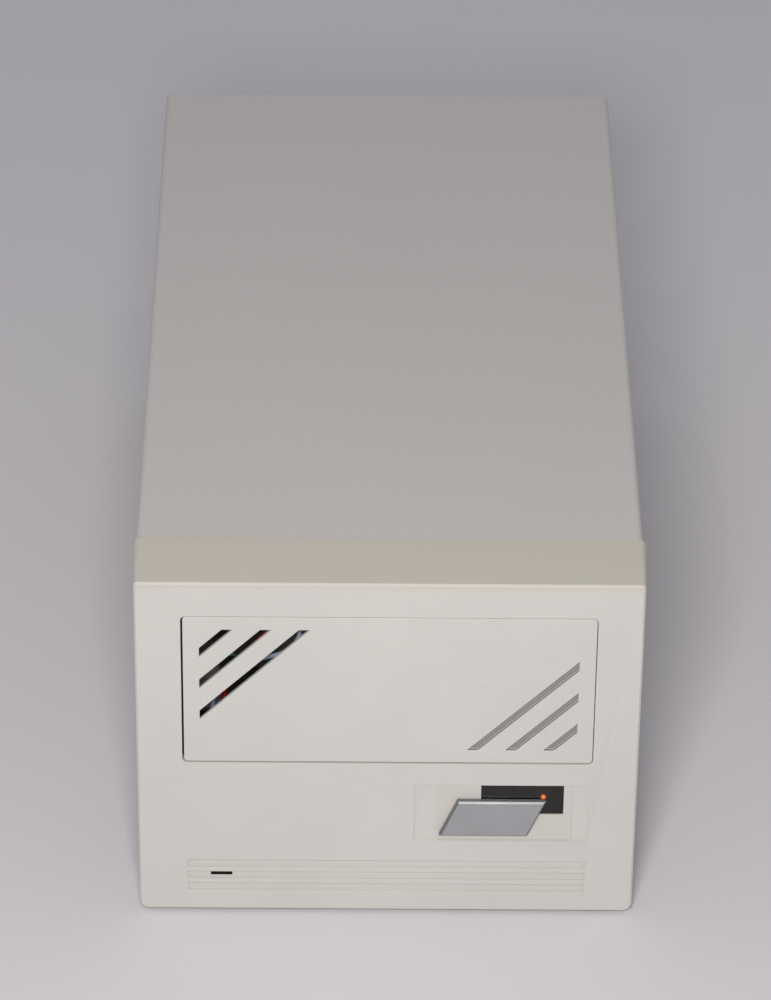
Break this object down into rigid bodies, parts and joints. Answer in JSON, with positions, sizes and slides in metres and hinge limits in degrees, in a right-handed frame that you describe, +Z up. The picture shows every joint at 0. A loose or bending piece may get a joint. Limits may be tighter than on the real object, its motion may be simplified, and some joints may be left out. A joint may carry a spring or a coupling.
{
  "type": "external drive enclosure",
  "caption": "Desktop external drive enclosure: a steel case with a moulded front, a slotted bay blank, a label panel with a dark window, and connectors, a switch and a fan at the back.",
  "frame": {"origin": "on the table, under the middle of the box that holds the whole object", "axes": "X to the right across the front, +Y from the front to the back, Z up"},
  "size_m": [0.127, 0.2538, 0.1029],
  "materials": {
    "bezel_plastic": "fine moulded texture",
    "blank_plastic": "fine moulded texture",
    "label_film": "satin film",
    "smoked_plastic": "polished",
    "silver_plate": "satin",
    "cover_paint": "fine textured paint",
    "zinc_steel": "zinc plated",
    "steel": "satin",
    "plated_wire": "bright",
    "foot_rubber": "matt",
    "cast_metal": "as cast",
    "platter_metal": "polished",
    "board_green": "lacquered",
    "board_tan": "bare laminate",
    "black_plastic": "moulded",
    "blue_plastic": "moulded",
    "cream_plastic": "moulded",
    "amber_lens": "clear tinted",
    "green_lens": "clear tinted",
    "red_insulation": "smooth",
    "blue_insulation": "smooth",
    "yellow_insulation": "smooth",
    "brown_insulation": "smooth",
    "ribbon_grey": "ribbed",
    "capacitor_sleeve": "shrunk sleeve",
    "transformer_tape": "wound tape",
    "heat_sink": "extruded",
    "copper_winding": "lacquered wire",
    "blade_brass": "plated"
  },
  "bodies": {
    "case": {"front_bezel": "bezel_plastic", "bay_blank": "blank_plastic", "label_film": "label_film", "indicator_window": "smoked_plastic", "name_plate": "silver_plate", "cover": "cover_paint", "chassis": "zinc_steel", "rubber_feet": "foot_rubber", "rear_screws": "steel", "bezel_screws": "steel", "indicator_board": "board_green", "power_lamp": "green_lens", "activity_lamp": "amber_lens", "lamp_wire_red": "red_insulation", "lamp_wire_blue": "blue_insulation", "drive_tray": "zinc_steel", "inner_screws": "steel", "drive_screws": "steel", "drive_base": "cast_metal", "drive_lid": "steel", "lid_screws": "steel", "drive_board": "board_green", "drive_chips": "black_plastic", "drive_data_socket": "black_plastic", "drive_power_socket": "cream_plastic", "coil_magnet": "steel", "supply_board": "board_tan", "supply_standoffs": "steel", "supply_transformer": "transformer_tape", "mains_capacitor": "capacitor_sleeve", "output_capacitors": "capacitor_sleeve", "supply_heat_sinks": "heat_sink", "filter_choke": "copper_winding", "supply_headers": "cream_plastic", "fan_frame": "black_plastic", "fan_guard": "plated_wire", "power_inlet": "black_plastic", "inlet_blades": "blade_brass", "switch_body": "black_plastic", "upper_shell": "steel", "lower_shell": "steel", "upper_insert": "blue_plastic", "lower_insert": "blue_plastic", "address_body": "black_plastic", "ribbon_cable": "ribbon_grey", "drive_power_lead": "yellow_insulation", "mains_leads": "brown_insulation", "fan_lead": "red_insulation"},
    "fan": {"fan_rotor": "black_plastic"},
    "platter_stack": {"platters": "platter_metal", "spindle_hub": "steel"},
    "arm": {"head_arm": "cast_metal"},
    "rocker": {"switch_rocker": "black_plastic"},
    "bail_upper_left": {"upper_left_bail": "plated_wire"},
    "bail_upper_right": {"upper_right_bail": "plated_wire"},
    "bail_lower_left": {"lower_left_bail": "plated_wire"},
    "bail_lower_right": {"lower_right_bail": "plated_wire"},
    "number_wheel": {"address_wheel": "cream_plastic"},
    "up_button": {"address_up_button": "black_plastic"},
    "down_button": {"address_down_button": "black_plastic"}
  },
  "joints": [
    {"name": "fan_spin", "type": "hinge", "parent": "case", "child": "fan", "pos_m": [-0.03365, 0.10541, 0.0275], "axis": [0, 1, 0], "continuous": true},
    {"name": "platter_spin", "type": "hinge", "parent": "case", "child": "platter_stack", "pos_m": [0, -0.06509, 0.07425], "axis": [0, 0, 1], "continuous": true},
    {"name": "arm_swing", "type": "hinge", "parent": "case", "child": "arm", "pos_m": [0.03, -0.01709, 0.07425], "axis": [0, 0, 1], "range_deg": [0, 25]},
    {"name": "rocker_tilt", "type": "hinge", "parent": "case", "child": "rocker", "pos_m": [0.01015, 0.11491, 0.0275], "axis": [1, 0, 0], "range_deg": [-24, 0]},
    {"name": "upper_left_bail_swing", "type": "hinge", "parent": "case", "child": "bail_upper_left", "pos_m": [-0.034, 0.11941, 0.08655], "axis": [0, 0, -1], "range_deg": [-25, 65]},
    {"name": "upper_right_bail_swing", "type": "hinge", "parent": "case", "child": "bail_upper_right", "pos_m": [0.042, 0.11941, 0.08655], "axis": [0, 0, 1], "range_deg": [-25, 65]},
    {"name": "lower_left_bail_swing", "type": "hinge", "parent": "case", "child": "bail_lower_left", "pos_m": [-0.034, 0.11941, 0.06455], "axis": [0, 0, -1], "range_deg": [-25, 65]},
    {"name": "lower_right_bail_swing", "type": "hinge", "parent": "case", "child": "bail_lower_right", "pos_m": [0.042, 0.11941, 0.06455], "axis": [0, 0, 1], "range_deg": [-25, 65]},
    {"name": "number_wheel_turn", "type": "hinge", "parent": "case", "child": "number_wheel", "pos_m": [-0.00635, 0.11221, 0.0275], "axis": [1, 0, 0], "continuous": true},
    {"name": "up_button_press", "type": "slide", "parent": "case", "child": "up_button", "axis": [0, -1, 0], "range_m": [0, 0.0015], "stiffness_N_per_m": 400, "springref_m": -0.0008},
    {"name": "down_button_press", "type": "slide", "parent": "case", "child": "down_button", "axis": [0, -1, 0], "range_m": [0, 0.0015], "stiffness_N_per_m": 400, "springref_m": -0.0008}
  ]
}
